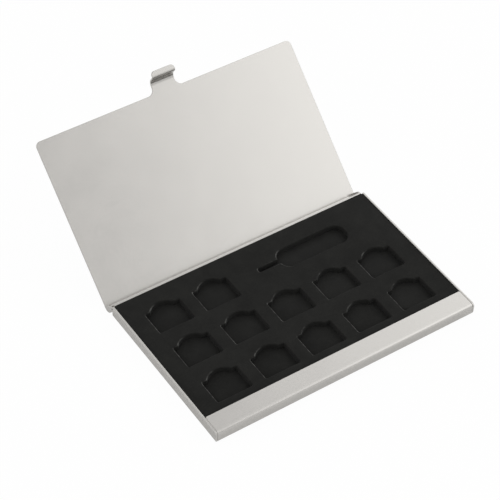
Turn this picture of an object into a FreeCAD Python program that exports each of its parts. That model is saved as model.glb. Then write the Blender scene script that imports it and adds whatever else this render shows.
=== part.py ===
import FreeCAD
import Part
import math
import os

# Slim metal case for small memory cards, drawn with its lid open.
# +X runs along the hinge, +Y points to the hinge side, +Z is up.
# The origin is the middle of the tray's underside. All lengths are millimetres.

# Whole case
case_width = 96.7
tray_depth = 59.6
tray_height = 4.8
open_angle = 138.2
edge_round = 0.15

# Tray: one sheet folded up into side walls, a back wall and a rolled front strip
tray_sheet = 0.6
bottom_bend = 1.4
strip_depth = 7.0
strip_nose = 1.3
strip_slit = 0.05
strip_corner = 0.5
back_wall_drop = 0.2
back_wall_round = 0.15
side_wall_setback = 0.8

# Hinge: ears folded from the back wall, pins held in the lid's end tabs
axis_behind_wall = 0.9
axis_height = 1.85
ear_radius = 0.9
ear_top_drop = 0.3
ear_inset = 0.8
pin_radius = 0.4
pin_running_clearance = 0.05
pin_head_radius = 0.7
pin_head_thickness = 0.25
pin_head_gap = 0.15

# Lid: one sheet with a rolled rear edge, end tabs and a closing tongue
lid_sheet = 0.5
lid_rest_gap = 0.1
lid_edge_setback = 3.7
lid_side_setback = 0.2
lid_corner = 1.8
roll_radius = 1.9
flange_behind_axis = 0.85
flange_below_axis = 0.32
tab_radius = 1.5
relief_radius = 1.25
relief_width = 1.4

# Tongue: neck over the strip, flange down the front and a finger lip
tongue_width = 8.6
tongue_fillet = 2.2
tongue_reach = 0.3
tongue_angle = 80.0
tongue_drop = 3.7
tongue_bend = 2.0
lip_bend = 0.5
lip_length = 2.2
lip_corner = 1.4

# Foam: a die-cut layer of pockets on a plain layer, stuck down by a thin sheet
adhesive_thickness = 0.15
backing_thickness = 1.7
pocket_thickness = 2.0
foam_clearance = 0.05
foam_tuck = 5.2
foam_corner = 0.4

# Pockets: card recesses with a finger arch, and a recess for the tray pin
pocket_width = 12.5
pocket_depth = 9.0
pocket_arch = 2.15
pocket_shoulder = 1.9
pocket_web = 3.0
left_margin = 6.5
right_margin = 7.0
front_row_margin = 2.9
back_row_margin = 5.65
pin_row_back = 10.95
pin_side_margin = 14.85
pin_slot_length = 8.0
pin_slot_width = 1.7
pin_head_length = 25.8
pin_head_width = 8.0
pin_head_nose = 3.4
pin_head_heel = 3.0

# Working values for cuts and for finding edges
overrun = 1.0
match_tolerance = 0.001

# Places that several pieces share
half_width = case_width / 2
front_face = -tray_depth / 2
back_face = tray_depth / 2
strip_rear = front_face + strip_depth
wall_inside = half_width - tray_sheet
back_inside = back_face - tray_sheet
axis_y = back_face + axis_behind_wall
lid_inside = tray_height + lid_rest_gap
lid_outside = lid_inside + lid_sheet
lid_edge = front_face + lid_edge_setback
lid_half = half_width - lid_side_setback
tab_inside = lid_half - lid_sheet
ear_outside = lid_half - ear_inset
ear_inside = ear_outside - tray_sheet
backing_bottom = tray_sheet + adhesive_thickness
pocket_bottom = backing_bottom + backing_thickness
foam_top = pocket_bottom + pocket_thickness
strip_underside = tray_height - tray_sheet
foam_half = wall_inside - foam_clearance
pin_head_end = foam_half - pin_side_margin
pin_head_start = pin_head_end - pin_head_length
pin_slot_start = pin_head_start - pin_slot_length


def block(x_span, y_span, z_span):
    """A box between two places along each axis."""
    size = [span[1] - span[0] for span in (x_span, y_span, z_span)]
    corner = FreeCAD.Vector(x_span[0], y_span[0], z_span[0])
    return Part.makeBox(size[0], size[1], size[2], corner)


def edges_along(shape, axis, places):
    """The straight edges parallel to one axis that pass through given places across it."""
    across = [index for index in range(3) if index != axis]
    chosen = []
    for edge in shape.Edges:
        box = edge.BoundBox
        low = (box.XMin, box.YMin, box.ZMin)
        high = (box.XMax, box.YMax, box.ZMax)
        for place in places:
            offsets = [low[index] - at for index, at in zip(across, place)]
            offsets += [high[index] - at for index, at in zip(across, place)]
            if max(abs(offset) for offset in offsets) < match_tolerance:
                chosen.append(edge)
    return chosen


def outline(path):
    """A closed wire from points, where a pair of points is an arc's middle and end."""
    edges = []
    start = path[0]
    for step in path[1:] + [path[0]]:
        if isinstance(step, tuple):
            edges.append(Part.Arc(start, step[0], step[1]).toShape())
            start = step[1]
        else:
            edges.append(Part.makeLine(start, step))
            start = step
    return Part.Wire(edges)


def side_prism(path, x_span):
    """A shape drawn from the side, in Y and Z, and pushed out along X."""
    points = []
    for step in path:
        if isinstance(step[0], tuple):
            points.append(tuple(FreeCAD.Vector(x_span[0], y, z) for y, z in step))
        else:
            points.append(FreeCAD.Vector(x_span[0], step[0], step[1]))
    return Part.Face(outline(points)).extrude(FreeCAD.Vector(x_span[1] - x_span[0], 0, 0))


def plan_prism(path, z_span):
    """A shape drawn from above, in X and Y, and pushed out along Z."""
    points = []
    for step in path:
        if isinstance(step[0], tuple):
            points.append(tuple(FreeCAD.Vector(x, y, z_span[0]) for x, y in step))
        else:
            points.append(FreeCAD.Vector(step[0], step[1], z_span[0]))
    return Part.Face(outline(points)).extrude(FreeCAD.Vector(0, 0, z_span[1] - z_span[0]))


def on_circle(center, radius, angle):
    """A point on a circle, with the angle in degrees from the first axis."""
    turn = math.radians(angle)
    return (center[0] + radius * math.cos(turn), center[1] + radius * math.sin(turn))


def hinge_cylinder(radius, x_span):
    """A cylinder about the hinge axis between two places along X."""
    base = FreeCAD.Vector(x_span[0], axis_y, axis_height)
    return Part.makeCylinder(radius, x_span[1] - x_span[0], base, FreeCAD.Vector(1, 0, 0))


def span_on(side, inner, outer):
    """A stretch of X between two distances from the middle, on one side of the case."""
    return (side * inner, side * outer) if side > 0 else (side * outer, side * inner)


def tray_body():
    """The folded sheet before its slits: floor, walls and the strip over the front."""
    body = block((-half_width, half_width), (front_face, back_face), (0, tray_height))
    floor_edges = edges_along(body, 1, [(-half_width, 0), (half_width, 0)])
    floor_edges += edges_along(body, 0, [(front_face, 0), (back_face, 0)])
    body = body.makeFillet(bottom_bend, floor_edges)
    nose_edge = edges_along(body, 0, [(front_face, tray_height)])
    body = body.makeFillet(strip_nose, nose_edge)

    inner_bend = bottom_bend - tray_sheet
    front_inside = front_face + tray_sheet
    hollow = block((-wall_inside, wall_inside), (front_inside, back_inside), (tray_sheet, strip_underside))
    hollow_floor = edges_along(hollow, 1, [(-wall_inside, tray_sheet), (wall_inside, tray_sheet)])
    hollow_floor += edges_along(hollow, 0, [(front_inside, tray_sheet), (back_inside, tray_sheet)])
    hollow = hollow.makeFillet(inner_bend, hollow_floor)
    mouth = block(
        (-wall_inside, wall_inside), (strip_rear, back_inside), (bottom_bend, tray_height + overrun)
    )
    return body.cut(hollow.fuse(mouth))


def tray_ear(side):
    """A hinge ear that is folded back from one end of the back wall."""
    center = (axis_y, axis_height)
    shoulder = (back_face, tray_height - back_wall_drop - ear_top_drop)
    rise = (shoulder[0] - axis_y, shoulder[1] - axis_height)
    reach = math.hypot(rise[0], rise[1])
    lean = math.degrees(math.atan2(rise[1], rise[0]))
    tangent = lean - math.degrees(math.acos(ear_radius / reach))
    root = back_face - tray_sheet / 2
    path = [
        (root, axis_height - ear_radius),
        (axis_y, axis_height - ear_radius),
        (on_circle(center, ear_radius, (tangent - 90) / 2), on_circle(center, ear_radius, tangent)),
        shoulder,
        (root, shoulder[1]),
    ]
    return side_prism(path, span_on(side, ear_inside, ear_outside))


def make_tray():
    """The base tray with its slit strip, lowered back wall, pierced ears and eased edges."""
    tray = tray_body()
    wall_top = tray_height - back_wall_drop
    cuts = [block((-wall_inside, wall_inside), (back_inside - overrun, back_face + overrun),
                  (wall_top, tray_height + overrun))]
    for side in (-1, 1):
        slit = span_on(side, wall_inside - strip_slit, wall_inside)
        cuts.append(block(slit, (front_face - overrun, strip_rear + overrun),
                          (bottom_bend, tray_height + overrun)))
        corner = span_on(side, ear_outside, half_width + overrun)
        cuts.append(block(corner, (back_face - side_wall_setback, back_face + overrun),
                          (-overrun, tray_height + overrun)))
    for cut in cuts:
        tray = tray.cut(cut)
    strip_end = wall_inside - strip_slit
    corners = edges_along(tray, 2, [(-strip_end, strip_rear), (strip_end, strip_rear)])
    tray = tray.makeFillet(strip_corner, corners)
    tray = tray.makeFillet(back_wall_round, edges_along(tray, 0, [(back_face, wall_top)]))
    for side in (-1, 1):
        tray = tray.fuse(tray_ear(side))
        hole = span_on(side, ear_inside - overrun, ear_outside + overrun)
        tray = tray.cut(hinge_cylinder(pin_radius + pin_running_clearance, hole))
    tray = tray.removeSplitter()
    rims = [(side * x, tray_height) for side in (-1, 1) for x in (wall_inside, half_width)]
    cut_edges = edges_along(tray, 1, rims) + edges_along(tray, 0, [(strip_rear, tray_height)])
    return tray.makeFillet(edge_round, cut_edges)


def lid_sheet_body():
    """The lid's panel and rolled rear edge, drawn closed."""
    flange_out = axis_y + flange_behind_axis
    flange_in = flange_out - lid_sheet
    flange_end = axis_height - flange_below_axis
    center = (flange_out - roll_radius, lid_outside - roll_radius)
    inner_radius = roll_radius - lid_sheet
    half_turn = 45
    path = [
        (lid_edge, lid_outside),
        (center[0], lid_outside),
        (on_circle(center, roll_radius, half_turn), (flange_out, center[1])),
        (flange_out, flange_end),
        (flange_in, flange_end),
        (flange_in, center[1]),
        (on_circle(center, inner_radius, half_turn), (center[0], lid_inside)),
        (lid_edge, lid_inside),
    ]
    sheet = side_prism(path, (-lid_half, lid_half))
    corners = edges_along(sheet, 2, [(-lid_half, lid_edge), (lid_half, lid_edge)])
    return sheet.makeFillet(lid_corner, corners)


def lid_tab(side):
    """A round-nosed plate that closes one end of the roll and holds a hinge pin."""
    center = (axis_y, axis_height)
    flange_out = axis_y + flange_behind_axis
    roll_center = (flange_out - roll_radius, lid_outside - roll_radius)
    middle_radius = roll_radius - lid_sheet / 2
    front = axis_y - tab_radius
    front_angle = math.degrees(math.acos((front - roll_center[0]) / middle_radius))
    nose_end = -math.degrees(math.acos(flange_behind_axis / tab_radius))
    path = [
        on_circle(roll_center, middle_radius, front_angle),
        (front, axis_height),
        (on_circle(center, tab_radius, (nose_end - 180) / 2), on_circle(center, tab_radius, nose_end)),
        (flange_out, roll_center[1]),
        (on_circle(roll_center, roll_radius, front_angle / 2),
         on_circle(roll_center, roll_radius, front_angle)),
    ]
    return side_prism(path, span_on(side, tab_inside, lid_half))


def lid_tongue():
    """The neck, the bent flange and the finger lip of the closing tongue."""
    half = tongue_width / 2
    turn = math.radians(tongue_angle)
    mitre = lid_sheet * math.tan(turn / 2)
    bend_y = front_face - tongue_reach
    foot_y = bend_y - tongue_drop / math.tan(turn)
    tip_y = foot_y - lip_length
    foot_z = lid_inside - tongue_drop
    path = [
        (lid_edge + lid_sheet, lid_inside),
        (bend_y, lid_inside),
        (foot_y, foot_z),
        (tip_y, foot_z),
        (tip_y, foot_z + lid_sheet),
        (foot_y - mitre, foot_z + lid_sheet),
        (bend_y - mitre, lid_outside),
        (lid_edge + lid_sheet, lid_outside),
    ]
    tongue = side_prism(path, (-half, half))
    bends = [
        (tongue_bend, (bend_y, lid_inside)),
        (tongue_bend + lid_sheet, (bend_y - mitre, lid_outside)),
        (lip_bend, (foot_y - mitre, foot_z + lid_sheet)),
        (lip_bend + lid_sheet, (foot_y, foot_z)),
    ]
    for radius, place in bends:
        tongue = tongue.makeFillet(radius, edges_along(tongue, 0, [place]))
    tip_corners = edges_along(tongue, 2, [(-half, tip_y), (half, tip_y)])
    tongue = tongue.makeFillet(lip_corner, tip_corners)

    edge = half + tongue_fillet
    root_y = lid_edge - tongue_fillet
    quarter = 45
    left = on_circle((-edge, root_y), tongue_fillet, quarter)
    right = on_circle((edge, root_y), tongue_fillet, 180 - quarter)
    root = plan_prism([
        (-edge, lid_edge + lid_sheet),
        (-edge, lid_edge),
        (left, (-half, root_y)),
        (half, root_y),
        (right, (edge, lid_edge)),
        (edge, lid_edge + lid_sheet),
    ], (lid_inside, lid_outside))
    return tongue.fuse(root)


def make_lid():
    """The whole lid, drawn closed with its edges eased all round, then swung open."""
    lid = lid_sheet_body().fuse(lid_tongue())
    for side in (-1, 1):
        relief = hinge_cylinder(relief_radius, span_on(side, tab_inside - relief_width, tab_inside))
        lid = lid.cut(relief).fuse(lid_tab(side))
        lid = lid.cut(hinge_cylinder(pin_radius, span_on(side, tab_inside - overrun, lid_half + overrun)))
    lid = lid.removeSplitter()
    sides = [(side * lid_half, z) for side in (-1, 1) for z in (lid_inside, lid_outside)]
    return swing_open(lid.makeFillet(edge_round, edges_along(lid, 1, sides)))


def make_hinge_pin(side):
    """A headed pin: its head lies inside the ear and its end is flush with the lid's tab."""
    head_outside = ear_inside - pin_head_gap
    head = hinge_cylinder(pin_head_radius, span_on(side, head_outside - pin_head_thickness, head_outside))
    shank = hinge_cylinder(pin_radius, span_on(side, head_outside, lid_half))
    return swing_open(head.fuse(shank).removeSplitter())


def swing_open(shape):
    """Turn a closed lid piece about the hinge axis to its open stop."""
    opened = shape.copy()
    axis_point = FreeCAD.Vector(0, axis_y, axis_height)
    opened.rotate(axis_point, FreeCAD.Vector(1, 0, 0), -open_angle)
    return opened


def rounded_sheet(x_half, y_span, z_span, corner):
    """A flat sheet with round corners."""
    sheet = block((-x_half, x_half), y_span, z_span)
    places = [(x, y) for x in (-x_half, x_half) for y in y_span]
    return sheet.makeFillet(corner, edges_along(sheet, 2, places))


def make_adhesive_sheet():
    """The thin sheet that sticks the foam to the tray's flat floor."""
    inset = bottom_bend - tray_sheet
    x_half = wall_inside - inset
    y_span = (strip_rear - foam_tuck, back_inside - inset)
    return rounded_sheet(x_half, y_span, (tray_sheet, backing_bottom), foam_corner)


def make_backing_foam():
    """The plain foam layer that forms the pockets' floor."""
    inset = bottom_bend - tray_sheet
    x_half = wall_inside - inset
    y_span = (strip_rear - foam_tuck, back_inside - inset)
    return rounded_sheet(x_half, y_span, (backing_bottom, pocket_bottom), foam_corner)


def card_pocket(center_x, front_y):
    """The cutter for one card recess: a rectangle with a finger arch at its back."""
    half = pocket_width / 2
    arch_half = half - pocket_shoulder
    back_y = front_y + pocket_depth
    path = [
        (center_x - half, front_y),
        (center_x + half, front_y),
        (center_x + half, back_y),
        (center_x + arch_half, back_y),
        ((center_x, back_y + pocket_arch), (center_x - arch_half, back_y)),
        (center_x - half, back_y),
    ]
    return plan_prism(path, (pocket_bottom - overrun, foam_top + overrun))


def pin_pocket():
    """The cutter for the tray pin: a narrow slot for the wire and a wide one for the head."""
    z_span = (pocket_bottom - overrun, foam_top + overrun)
    middle = back_inside - pin_row_back
    half = pin_head_width / 2
    head = block((pin_head_start, pin_head_end), (middle - half, middle + half), z_span)
    sides = (middle - half, middle + half)
    head = head.makeFillet(pin_head_nose, edges_along(head, 2, [(pin_head_end, y) for y in sides]))
    head = head.makeFillet(pin_head_heel, edges_along(head, 2, [(pin_head_start, y) for y in sides]))
    slot_half = pin_slot_width / 2
    slot_sides = (middle - slot_half, middle + slot_half)
    slot = block((pin_slot_start, pin_head_start + slot_half), slot_sides, z_span)
    return head.fuse(slot)


def even_places(first, last, length, web):
    """Starts of as many equal pieces as fit between two places, spread evenly."""
    count = math.floor((last - first + web) / (length + web))
    pitch = (last - first - length) / max(count - 1, 1)
    return [first + index * pitch for index in range(count)]


def pocket_places():
    """Middle and front of every card recess; the back row leaves room for the pin."""
    side = foam_half - right_margin
    lefts = even_places(left_margin - foam_half, side, pocket_width, pocket_web)
    front = strip_rear + front_row_margin
    back = back_inside - back_row_margin
    rows = even_places(front, back, pocket_depth + pocket_arch, pocket_web)
    places = []
    for front_y in rows:
        room = pin_slot_start - pocket_web if front_y == rows[-1] else side
        for left in lefts:
            if left + pocket_width < room + match_tolerance:
                places.append((left + pocket_width / 2, front_y))
    return places


def make_pocket_foam():
    """The die-cut foam layer, with a thinner front margin tucked under the strip."""
    y_span = (strip_rear - foam_tuck, back_inside - foam_clearance)
    foam = rounded_sheet(foam_half, y_span, (pocket_bottom, foam_top), foam_corner)
    tuck_top = strip_underside - foam_clearance
    margin = block((-half_width, half_width), (y_span[0] - overrun, strip_rear + foam_clearance),
                   (tuck_top, foam_top + overrun))
    foam = foam.cut(margin)
    cutters = [pin_pocket()]
    cutters += [card_pocket(center_x, front_y) for center_x, front_y in pocket_places()]
    for cutter in cutters:
        foam = foam.cut(cutter)
    return foam


def save(name, shape):
    """Write one named piece."""
    shape.exportStep("parts/" + name + ".step")
    print(name, "solids", len(shape.Solids), "valid", shape.isValid(), "volume", round(shape.Volume, 2))


os.makedirs("parts", exist_ok=True)
save("base_tray", make_tray())
save("lid", make_lid())
save("hinge_pin_left", make_hinge_pin(-1))
save("hinge_pin_right", make_hinge_pin(1))
save("adhesive_sheet", make_adhesive_sheet())
save("backing_foam", make_backing_foam())
save("pocket_foam", make_pocket_foam())
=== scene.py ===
import math

import bmesh
import bpy
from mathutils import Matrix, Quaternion, Vector


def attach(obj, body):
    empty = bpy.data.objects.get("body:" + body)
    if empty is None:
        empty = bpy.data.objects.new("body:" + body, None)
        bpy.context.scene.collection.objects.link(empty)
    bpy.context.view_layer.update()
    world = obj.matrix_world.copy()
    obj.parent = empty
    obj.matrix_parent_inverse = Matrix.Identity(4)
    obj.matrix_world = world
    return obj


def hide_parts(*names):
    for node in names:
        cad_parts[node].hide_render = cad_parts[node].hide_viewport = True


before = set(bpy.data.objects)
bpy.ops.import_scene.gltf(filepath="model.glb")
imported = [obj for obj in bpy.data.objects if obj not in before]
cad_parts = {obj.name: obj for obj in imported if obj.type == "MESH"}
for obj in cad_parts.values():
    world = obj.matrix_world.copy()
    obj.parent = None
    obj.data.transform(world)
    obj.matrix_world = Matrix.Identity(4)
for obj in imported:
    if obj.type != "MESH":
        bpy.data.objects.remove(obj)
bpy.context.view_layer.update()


# Base tray: one aluminium sheet, pressed and folded up into walls, its front rolled back into a flat strip.
# It is bead blasted and clear anodised, which leaves a fine, slightly milky satin with soft edges.
# The folded shape comes with the frame, so only its finish is made here.

def new_material(name):
    material = bpy.data.materials.new(name)
    material.use_nodes = True
    material.node_tree.nodes.clear()
    return material, material.node_tree.nodes, material.node_tree.links


def noise(nodes, links, place, scale, detail, rough):
    node = nodes.new("ShaderNodeTexNoise")
    node.inputs["Scale"].default_value = scale
    node.inputs["Detail"].default_value = detail
    node.inputs["Roughness"].default_value = rough
    links.new(place, node.inputs["Vector"])
    return node.outputs["Fac"]


def spread(nodes, links, value, span, result, easing="LINEAR"):
    node = nodes.new("ShaderNodeMapRange")
    node.interpolation_type = easing
    node.inputs["From Min"].default_value, node.inputs["From Max"].default_value = span
    node.inputs["To Min"].default_value, node.inputs["To Max"].default_value = result
    links.new(value, node.inputs["Value"])
    return node.outputs["Result"]


def combine(nodes, links, operation, first, second):
    node = nodes.new("ShaderNodeMath")
    node.operation = operation
    links.new(first, node.inputs[0])
    links.new(second, node.inputs[1])
    return node.outputs[0]


def blend(nodes, links, kind, amount, first, second):
    node = nodes.new("ShaderNodeMix")
    node.data_type = kind
    links.new(amount, node.inputs["Factor"])
    links.new(first, node.inputs["A"])
    links.new(second, node.inputs["B"])
    return node.outputs["Result"]


def relief(nodes, links, height, depth):
    node = nodes.new("ShaderNodeBump")
    node.inputs["Distance"].default_value = depth
    links.new(height, node.inputs["Height"])
    return node


def finish_group(name, colours, values):
    group = bpy.data.node_groups.new(name, "ShaderNodeTree")
    for colour in colours:
        group.interface.new_socket(colour, in_out="INPUT", socket_type="NodeSocketColor")
    for value in values:
        group.interface.new_socket(value, in_out="INPUT", socket_type="NodeSocketFloat")
    for leaving, kind in (("Color", "NodeSocketColor"), ("Roughness", "NodeSocketFloat"),
                          ("Normal", "NodeSocketVector")):
        group.interface.new_socket(leaving, in_out="OUTPUT", socket_type=kind)
    entry = group.nodes.new("NodeGroupInput")
    leave = group.nodes.new("NodeGroupOutput")
    place = group.nodes.new("ShaderNodeTexCoord").outputs["Object"]
    return group, entry.outputs, leave.inputs, place


def make_satin_blast():
    group, given, leave, place = finish_group("satin_blast", ("Pale", "Deep"), ("Smooth", "Rough", "Grain"))
    nodes, links = group.nodes, group.links
    grain_depth = 0.00003
    grain = noise(nodes, links, place, scale=5200, detail=3, rough=0.6)
    cloud = noise(nodes, links, place, scale=75, detail=4, rough=0.55)
    speck = noise(nodes, links, place, scale=1500, detail=2, rough=0.5)
    mottle = combine(nodes, links, "ADD", spread(nodes, links, cloud, (0.3, 0.7), (0, 0.55)),
                     spread(nodes, links, speck, (0.3, 0.7), (0, 0.45)))
    links.new(blend(nodes, links, "RGBA", mottle, given["Deep"], given["Pale"]), leave["Color"])
    links.new(blend(nodes, links, "FLOAT", mottle, given["Smooth"], given["Rough"]), leave["Roughness"])
    bump = relief(nodes, links, grain, grain_depth)
    links.new(given["Grain"], bump.inputs["Strength"])
    links.new(bump.outputs["Normal"], leave["Normal"])
    return group


satin_blast = make_satin_blast()


def place_group(nodes, group, colours, values):
    node = nodes.new("ShaderNodeGroup")
    node.node_tree = group
    for name, colour in colours.items():
        node.inputs[name].default_value = (*colour, 1)
    for name, value in values.items():
        node.inputs[name].default_value = value
    return node


def skin_over(nodes, links, colour, rough, normal):
    skin = nodes.new("ShaderNodeBsdfPrincipled")
    links.new(colour, skin.inputs["Base Color"])
    links.new(rough, skin.inputs["Roughness"])
    links.new(normal, skin.inputs["Normal"])
    out = nodes.new("ShaderNodeOutputMaterial")
    links.new(skin.outputs["BSDF"], out.inputs["Surface"])
    return skin


def satin_metal(name, pale, deep, smooth, rough, grain, bare):
    material, nodes, links = new_material(name)
    blast = place_group(nodes, satin_blast, {"Pale": pale, "Deep": deep},
                        {"Smooth": smooth, "Rough": rough, "Grain": grain}).outputs
    skin = skin_over(nodes, links, blast["Color"], blast["Roughness"], blast["Normal"])
    skin.inputs["Metallic"].default_value = bare
    return material


def dress(node_name, material):
    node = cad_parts[node_name]
    node.data.materials.clear()
    node.data.materials.append(material)


def anodised_metal(name, grain):
    return satin_metal(name, pale=(0.583, 0.567, 0.541), deep=(0.542, 0.528, 0.505),
                       smooth=0.18, rough=0.24, grain=grain, bare=0.85)


dress("base_tray", anodised_metal("tray_satin", grain=0.25))


# Adhesive sheet: a thin double-sided film under the foam, white with a faint crinkle.
# It is rolled on to the foam before the foam is pressed into the tray, so it hardly shows.

def film_finish():
    material, nodes, links = new_material("adhesive_film")
    place = nodes.new("ShaderNodeTexCoord").outputs["Object"]
    crinkle_depth = 0.00004
    crinkle = noise(nodes, links, place, scale=420, detail=4, rough=0.6)
    tone = nodes.new("ShaderNodeValToRGB")
    tone.color_ramp.elements[0].color = (0.52, 0.51, 0.47, 1)
    tone.color_ramp.elements[1].color = (0.68, 0.67, 0.63, 1)
    links.new(crinkle, tone.inputs["Fac"])
    bump = relief(nodes, links, crinkle, crinkle_depth)
    bump.inputs["Strength"].default_value = 0.4
    skin_over(nodes, links, tone.outputs["Color"], spread(nodes, links, crinkle, (0.3, 0.7), (0.35, 0.6)),
              bump.outputs["Normal"])
    return material


dress("adhesive_sheet", film_finish())


# Backing foam: a plain sheet of black closed-cell foam, sliced from a block and cut with a knife.
# It forms the floor of every recess, and the film holds it to the tray.

MM = 0.001
hair = 1e-6


def fresh_cube(name, low, high):
    bpy.ops.object.select_all(action="DESELECT")
    middle = [(a + b) / 2 * MM for a, b in zip(low, high)]
    size = [(b - a) * MM for a, b in zip(low, high)]
    bpy.ops.mesh.primitive_cube_add(size=1, location=middle)
    piece = bpy.context.object
    piece.name = name
    piece.data.name = name
    piece.scale = size
    bpy.ops.object.transform_apply(location=True, rotation=True, scale=True)
    return piece


def round_edges(piece, wanted, radius, segments, slot=-1, clamp=True):
    bpy.context.view_layer.objects.active = piece
    bpy.ops.object.mode_set(mode="EDIT")
    bpy.ops.mesh.select_mode(type="EDGE")
    bpy.ops.mesh.select_all(action="DESELECT")
    mesh = bmesh.from_edit_mesh(piece.data)
    for edge in mesh.edges:
        edge.select_set(wanted(edge))
    mesh.select_flush_mode()
    bmesh.update_edit_mesh(piece.data)
    bpy.ops.mesh.bevel(offset=radius * MM, segments=segments, affect="EDGES",
                       clamp_overlap=clamp, material=slot)
    bpy.ops.object.mode_set(mode="OBJECT")


def upright(edge):
    a, b = (vert.co for vert in edge.verts)
    return abs(a.x - b.x) < hair and abs(a.y - b.y) < hair


def smooth_piece(piece, angle):
    bpy.ops.object.select_all(action="DESELECT")
    piece.select_set(True)
    bpy.context.view_layer.objects.active = piece
    bpy.ops.object.shade_smooth_by_angle(angle=math.radians(angle))


def make_foam_cells():
    group, given, leave, place = finish_group("foam_cells", ("Dark", "Light"), ("Rough",))
    nodes, links = group.nodes, group.links
    cell_scale, cell_depth = 4200, 0.00006
    cells = nodes.new("ShaderNodeTexVoronoi")
    cells.inputs["Scale"].default_value = cell_scale
    links.new(place, cells.inputs["Vector"])
    nap = noise(nodes, links, place, scale=2600, detail=3, rough=0.6)
    cloud = noise(nodes, links, place, scale=160, detail=4, rough=0.6)
    mottle = combine(nodes, links, "MULTIPLY", nap, spread(nodes, links, cloud, (0.25, 0.75), (0.6, 1.4)))
    shade = spread(nodes, links, mottle, (0.25, 0.75), (0, 1))
    links.new(blend(nodes, links, "RGBA", shade, given["Dark"], given["Light"]), leave["Color"])
    uneven = spread(nodes, links, nap, (0.3, 0.7), (-0.08, 0.06))
    links.new(combine(nodes, links, "ADD", given["Rough"], uneven), leave["Roughness"])
    bump = relief(nodes, links, combine(nodes, links, "ADD", cells.outputs["Distance"], nap), cell_depth)
    bump.inputs["Strength"].default_value = 0.5
    links.new(bump.outputs["Normal"], leave["Normal"])
    return group


foam_cells = make_foam_cells()


def foam_finish(name, dark, light, rough, gloss):
    material, nodes, links = new_material(name)
    foam = place_group(nodes, foam_cells, {"Dark": dark, "Light": light}, {"Rough": rough}).outputs
    skin = skin_over(nodes, links, foam["Color"], foam["Roughness"], foam["Normal"])
    skin.inputs["Specular IOR Level"].default_value = gloss
    skin.inputs["Sheen Weight"].default_value = 0.04
    skin.inputs["Sheen Roughness"].default_value = 0.6
    return material


backing_low = (-46.95, -28.0, 0.75)
backing_high = (46.95, 28.4, 2.45)
foam_corner, knife_edge = 0.4, 0.1
sharp_angle = 40


def backing_rim(edge):
    just_below = backing_high[2] - 0.01
    return all(vert.co.z > just_below * MM for vert in edge.verts)


backing = fresh_cube("backing_layer", backing_low, backing_high)
round_edges(backing, upright, foam_corner, segments=4)
round_edges(backing, backing_rim, knife_edge, segments=2)
smooth_piece(backing, sharp_angle)
# The backing's tone is set a touch darker than the pocket foam's; on the recess floors that difference is
# painted shade.
backing.data.materials.append(foam_finish(
    "backing_foam", dark=(0.0042, 0.0042, 0.0037), light=(0.0119, 0.0119, 0.0106), rough=0.84, gloss=0.18))
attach(backing, "tray")
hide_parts("backing_foam")


# Pocket foam: the same foam, die-cut in one stroke with a recess for each card and one for the tray pin.
# The die draws the foam's skin down, so every recess has a soft upper edge; where that edge faces right it
# carries a patchy painted highlight.
# Its thinner front margin is tucked under the tray's strip.

pocket_low = (-47.7, -28.0, 2.45)
pocket_high = (47.7, 29.15, 4.15)
foam_top = 4.45
step_y = -22.75
layer = fresh_cube("pocket_layer", pocket_low, pocket_high)
round_edges(layer, upright, foam_corner, segments=4)


def behind_step(face):
    return face.normal.z > 0.9 and face.calc_center_median().y > step_y * MM


bpy.ops.object.mode_set(mode="EDIT")
bpy.ops.mesh.select_mode(type="FACE")
bpy.ops.mesh.select_all(action="SELECT")
bpy.ops.mesh.bisect(plane_co=(0, step_y * MM, 0), plane_no=(0, 1, 0))
bpy.ops.mesh.select_all(action="DESELECT")
mesh = bmesh.from_edit_mesh(layer.data)
for face in mesh.faces:
    face.select_set(behind_step(face))
bmesh.update_edit_mesh(layer.data)
bpy.ops.mesh.extrude_region_move(
    TRANSFORM_OT_translate={"value": (0, 0, (foam_top - pocket_high[2]) * MM)})
bpy.ops.object.mode_set(mode="OBJECT")


def cut_or_fuse(piece, other, operation):
    change = piece.modifiers.new("change", "BOOLEAN")
    change.operation = operation
    change.solver = "EXACT"
    change.object = other
    bpy.context.view_layer.objects.active = piece
    bpy.ops.object.modifier_apply(modifier=change.name)
    bpy.data.objects.remove(other)


recess_width, recess_depth, recess_corner = 12.5, 9.0, 0.45
arch_rise, shoulder, arch_overrun, arch_sides = 2.15, 1.9, 0.6, 129
arch_half = recess_width / 2 - shoulder
arch_radius = (arch_half ** 2 + arch_rise ** 2) / (2 * arch_rise)
cut_low, cut_high = 1.2, 6.0


def recess_punch(name):
    punch = fresh_cube(name, (-recess_width / 2, 0, cut_low), (recess_width / 2, recess_depth, cut_high))
    round_edges(punch, upright, recess_corner, segments=4)
    bpy.ops.object.select_all(action="DESELECT")
    middle = (0, (recess_depth + arch_rise - arch_radius) * MM, (cut_low + cut_high) / 2 * MM)
    bpy.ops.mesh.primitive_cylinder_add(vertices=arch_sides, radius=arch_radius * MM,
                                        depth=(cut_high - cut_low + arch_overrun) * MM, location=middle)
    arch = bpy.context.object
    bpy.ops.object.transform_apply(location=True, rotation=True, scale=True)
    cut_or_fuse(punch, arch, "UNION")
    return punch


columns = (-34.95, -17.6, -0.25, 17.1, 34.45)
row_fronts_and_counts = ((-19.9, 5), (-3.75, 5), (12.4, 2))
first_punch = recess_punch("recess_punch")
punches = []
for front, count in row_fronts_and_counts:
    for column in columns[:count]:
        copy = first_punch.copy()
        copy.data = first_punch.data.copy()
        bpy.context.collection.objects.link(copy)
        copy.location = (column * MM, front * MM, 0)
        punches.append(copy)
bpy.data.objects.remove(first_punch)

pin_row = 18.25
head_left, head_right, head_half, head_nose, head_heel = 7.05, 32.85, 4.0, 3.4, 3.3
wire_left, wire_half, wire_end, wire_overlap = -0.95, 0.85, 0.6, 1


def nose_edge(edge):
    return upright(edge) and edge.verts[0].co.x > (head_left + head_right) / 2 * MM


def heel_edge(edge):
    return upright(edge) and edge.verts[0].co.x < head_left * MM + hair


def wire_end_edge(edge):
    return upright(edge) and edge.verts[0].co.x < 0


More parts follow.
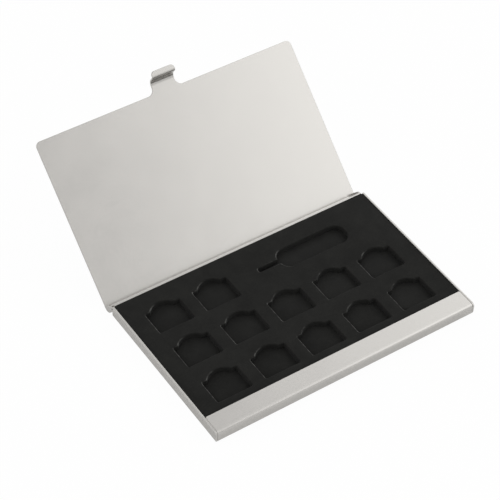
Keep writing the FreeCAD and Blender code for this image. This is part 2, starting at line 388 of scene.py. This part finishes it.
head = fresh_cube("pin_head_punch", (head_left, pin_row - head_half, cut_low),
                  (head_right, pin_row + head_half, cut_high))
round_edges(head, nose_edge, head_nose, segments=12)
round_edges(head, heel_edge, head_heel, segments=10)
wire = fresh_cube("pin_wire_punch", (wire_left, pin_row - wire_half, cut_low),
                  (head_left + wire_overlap, pin_row + wire_half, cut_high))
round_edges(wire, wire_end_edge, wire_end, segments=5)
cut_or_fuse(head, wire, "UNION")
punches.append(head)

for punch in punches:
    cut_or_fuse(layer, punch, "DIFFERENCE")

stray_length = 0.1
bpy.ops.object.mode_set(mode="EDIT")
bpy.ops.mesh.select_all(action="SELECT")
bpy.ops.mesh.remove_doubles(threshold=stray_length * MM)
bpy.ops.object.mode_set(mode="OBJECT")

recess_reach, recess_front, recess_back = 46, -22, 28
recess_round, outer_round = 0.4, 0.2


def top_rim(edge):
    on_top = all(abs(vert.co.z - foam_top * MM) < hair for vert in edge.verts)
    return on_top and len(edge.link_faces) == 2 and edge.calc_face_angle(0) > math.radians(sharp_angle)


def recess_rim(edge):
    inside = all(abs(vert.co.x) < recess_reach * MM and recess_front * MM < vert.co.y < recess_back * MM
                 for vert in edge.verts)
    return inside and top_rim(edge)


pocket_rough = 0.82
# Tone and roughness used where the recess rims carry a painted highlight.
highlight_patch_rough, painted_highlight_tone = 0.45, (0.1, 0.1, 0.094, 1)


def pocket_finish(name):
    return foam_finish(name, dark=(0.0047, 0.0047, 0.0041), light=(0.0129, 0.0129, 0.0115),
                       rough=pocket_rough, gloss=0.15)


def rim_finish():
    material = pocket_finish("recess_rim_painted_highlight")
    nodes, links = material.node_tree.nodes, material.node_tree.links
    skin = next(node for node in nodes if node.type == "BSDF_PRINCIPLED")
    foam = next(node for node in nodes if node.type == "GROUP")
    where = nodes.new("ShaderNodeTexCoord")
    facing = nodes.new("ShaderNodeSeparateXYZ")
    links.new(where.outputs["Normal"], facing.inputs[0])
    patch = noise(nodes, links, where.outputs["Object"], scale=650, detail=2, rough=0.6)
    # Paler, glossier patches where the rim faces right: the paler colour is a painted highlight, broken up
    # by noise.
    painted_highlight = combine(nodes, links, "MULTIPLY", spread(nodes, links, facing.outputs["X"], (0.05, 0.5), (0, 1)),
                   spread(nodes, links, patch, (0.4, 0.62), (0.15, 1)))
    tone = nodes.new("ShaderNodeMix")
    tone.data_type = "RGBA"
    tone.inputs["B"].default_value = painted_highlight_tone
    links.new(painted_highlight, tone.inputs["Factor"])
    links.new(foam.outputs["Color"], tone.inputs["A"])
    links.new(tone.outputs["Result"], skin.inputs["Base Color"])
    links.new(spread(nodes, links, painted_highlight, (0, 1), (pocket_rough, highlight_patch_rough)), skin.inputs["Roughness"])
    return material


layer.data.materials.append(pocket_finish("pocket_foam"))
layer.data.materials.append(rim_finish())
round_edges(layer, recess_rim, recess_round, segments=6, slot=1, clamp=False)
round_edges(layer, top_rim, outer_round, segments=3)
smooth_piece(layer, sharp_angle)
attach(layer, "tray")
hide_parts("pocket_foam")


# Hinge pins: two short lengths of drawn steel wire with an upset head.
# Each is pressed into a tab of the lid and turns in an ear of the tray.

pin_metal = satin_metal("pin_wire", pale=(0.62, 0.62, 0.61), deep=(0.48, 0.48, 0.48),
                        smooth=0.25, rough=0.4, grain=0.15, bare=1.0)
dress("hinge_pin_left", pin_metal)
dress("hinge_pin_right", pin_metal)


# Lid: one thinner sheet of the same aluminium with a rolled rear edge, end tabs and a closing tongue.
# It is blasted and anodised like the tray, with a slightly fainter grain, and swings on the two pins.

dress("lid", anodised_metal("lid_satin", grain=0.22))


# Studio: a plain white floor under a white tent that glows softly, more at its sides than overhead.
# Its right-hand panel is dimmer low down, so that the closed lid keeps its shade at a low angle.
# The camera stands where the photograph was taken.

floor_size, floor_drop = 4, 0.6
floor_white = (0.86, 0.86, 0.86, 1)
white_to_camera, white_in_mirrors = 0.97, 0.08
bpy.ops.object.select_all(action="DESELECT")
bpy.ops.mesh.primitive_plane_add(size=floor_size, location=(0, 0, -floor_drop * MM))
floor = bpy.context.object
floor.name = "floor"
paper, nodes, links = new_material("white_paper")
sheet = nodes.new("ShaderNodeBsdfDiffuse")
sheet.inputs["Color"].default_value = floor_white
glow = nodes.new("ShaderNodeEmission")
glow.inputs["Strength"].default_value = 1.0
ray = nodes.new("ShaderNodeLightPath")
share = nodes.new("ShaderNodeMath")
share.operation = "MULTIPLY"
share.inputs[1].default_value = white_to_camera
links.new(ray.outputs["Is Camera Ray"], share.inputs[0])
mirrored = combine(nodes, links, "MAXIMUM", ray.outputs["Is Glossy Ray"], ray.outputs["Is Transmission Ray"])
white_part = nodes.new("ShaderNodeMath")
white_part.operation = "MULTIPLY_ADD"
white_part.inputs[1].default_value = white_in_mirrors
links.new(mirrored, white_part.inputs[0])
links.new(share.outputs[0], white_part.inputs[2])
both = nodes.new("ShaderNodeMixShader")
links.new(white_part.outputs[0], both.inputs["Fac"])
links.new(sheet.outputs["BSDF"], both.inputs[1])
links.new(glow.outputs["Emission"], both.inputs[2])
out = nodes.new("ShaderNodeOutputMaterial")
links.new(both.outputs["Shader"], out.inputs["Surface"])
floor.data.materials.append(paper)

world = bpy.data.worlds.new("white_surround")
bpy.context.scene.world = world
world.use_nodes = True
nodes, links = world.node_tree.nodes, world.node_tree.links
nodes.clear()
toward = nodes.new("ShaderNodeSeparateXYZ")
links.new(nodes.new("ShaderNodeTexCoord").outputs["Generated"], toward.inputs[0])


def tent_side(along, span, glows):
    return spread(nodes, links, toward.outputs[along], span, glows, easing="SMOOTHSTEP")


overhead_glow, left_glow = 0.64, 1.09
panel_rear_glow, panel_front_glow, panel_low_share = 0.77, 1.17, 0.3
panel_near_edge, panel_far_edge = (0.28, 0.52), (0.95, 0.65)
panel = combine(nodes, links, "MULTIPLY", tent_side("X", panel_near_edge, (0, 1)),
                tent_side("X", panel_far_edge, (0, 1)))
raised = combine(nodes, links, "MULTIPLY", panel, tent_side("Z", (0.15, 0.55), (panel_low_share, 1)))
right_side = combine(nodes, links, "MULTIPLY", raised,
                     tent_side("Y", (0, -0.5), (panel_rear_glow, panel_front_glow)))
left_side = tent_side("X", (0, -0.8), (overhead_glow, left_glow))
soft = nodes.new("ShaderNodeBackground")
soft.inputs["Color"].default_value = (1, 1, 1, 1)
links.new(combine(nodes, links, "ADD", left_side, right_side), soft.inputs["Strength"])
white = nodes.new("ShaderNodeBackground")
white.inputs["Color"].default_value = (1, 1, 1, 1)
ray = nodes.new("ShaderNodeLightPath")
both = nodes.new("ShaderNodeMixShader")
links.new(ray.outputs["Is Camera Ray"], both.inputs["Fac"])
links.new(soft.outputs["Background"], both.inputs[1])
links.new(white.outputs["Background"], both.inputs[2])
out = nodes.new("ShaderNodeOutputWorld")
links.new(both.outputs["Shader"], out.inputs["Surface"])

camera_angles = (-36.006, 46.069, 2.96)
camera_aim = Vector((4.31, 30.63, 0)) * MM
camera_distance = 0.61404
lens_data = bpy.data.cameras.new("camera")
lens_data.sensor_width = 36
lens_data.lens = 136.8
lens_data.clip_start = 0.01
camera = bpy.data.objects.new("camera", lens_data)
bpy.context.scene.collection.objects.link(camera)
turn, tilt, roll = (math.radians(angle) for angle in camera_angles)
back = Vector((math.sin(turn) * math.cos(tilt), -math.cos(turn) * math.cos(tilt), math.sin(tilt)))
camera.location = camera_aim + back * camera_distance
camera.rotation_mode = "QUATERNION"
camera.rotation_quaternion = back.to_track_quat("Z", "Y") @ Quaternion((0, 0, 1), roll)
bpy.context.scene.camera = camera

bpy.context.scene.view_settings.view_transform = "Standard"
